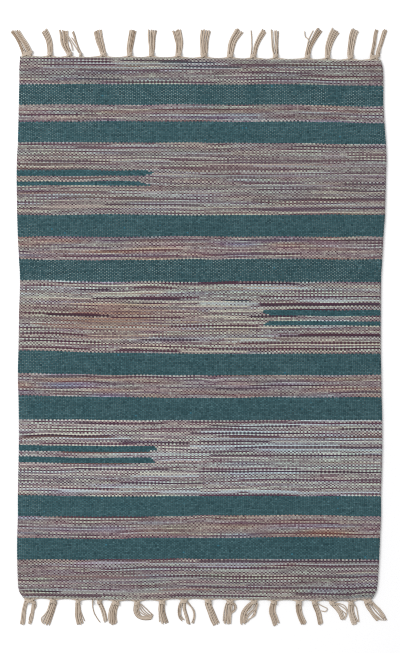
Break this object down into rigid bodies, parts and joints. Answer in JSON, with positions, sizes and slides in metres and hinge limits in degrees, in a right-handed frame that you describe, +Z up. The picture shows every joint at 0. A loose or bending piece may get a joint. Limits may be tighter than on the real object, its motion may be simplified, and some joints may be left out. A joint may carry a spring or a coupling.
{
  "type": "kilim rug",
  "caption": "Small flat-woven cotton kilim rug in teal and mottled cream and plum bands, lying flat, with knotted cream fringe at both ends.",
  "frame": {"origin": "on the floor, under the middle of the rug's outline with its fringe", "axes": "+X across the rug, +Y along it towards the end at the picture's top, +Z up from the floor"},
  "size_m": [0.6204, 0.985, 0.005],
  "materials": {
    "kilim_cloth": "weft-faced flat weave of thick cotton, matt, teal bands between mottled cream, plum and lavender bands",
    "cream_warp_yarn": "unbleached plied cotton warp yarn, matt, in knotted bunches and a narrow heading"
  },
  "bodies": {
    "root": {"field": "kilim_cloth", "far_heading": "cream_warp_yarn", "near_heading": "cream_warp_yarn", "far_tassel_01": "cream_warp_yarn", "far_tassel_02": "cream_warp_yarn", "far_tassel_03": "cream_warp_yarn", "far_stray": "cream_warp_yarn", "far_tassel_04": "cream_warp_yarn", "far_tassel_05": "cream_warp_yarn", "far_tassel_06": "cream_warp_yarn", "far_tassel_07": "cream_warp_yarn", "far_tassel_08": "cream_warp_yarn", "far_tassel_09": "cream_warp_yarn", "far_tassel_10": "cream_warp_yarn", "far_tassel_11": "cream_warp_yarn", "far_tassel_12": "cream_warp_yarn", "far_tassel_13": "cream_warp_yarn", "far_tassel_14": "cream_warp_yarn", "far_tassel_15": "cream_warp_yarn", "near_tassel_01": "cream_warp_yarn", "near_tassel_02": "cream_warp_yarn", "near_tassel_03": "cream_warp_yarn", "near_stray": "cream_warp_yarn", "near_tassel_04": "cream_warp_yarn", "near_tassel_05": "cream_warp_yarn", "near_tassel_06": "cream_warp_yarn", "near_tassel_07": "cream_warp_yarn", "near_tassel_08": "cream_warp_yarn", "near_tassel_09": "cream_warp_yarn", "near_tassel_10": "cream_warp_yarn", "near_tassel_11": "cream_warp_yarn", "near_tassel_12": "cream_warp_yarn", "near_tassel_13": "cream_warp_yarn", "near_tassel_14": "cream_warp_yarn", "near_tassel_15": "cream_warp_yarn", "near_tassel_16": "cream_warp_yarn", "near_tassel_17": "cream_warp_yarn"}
  },
  "joints": []
}
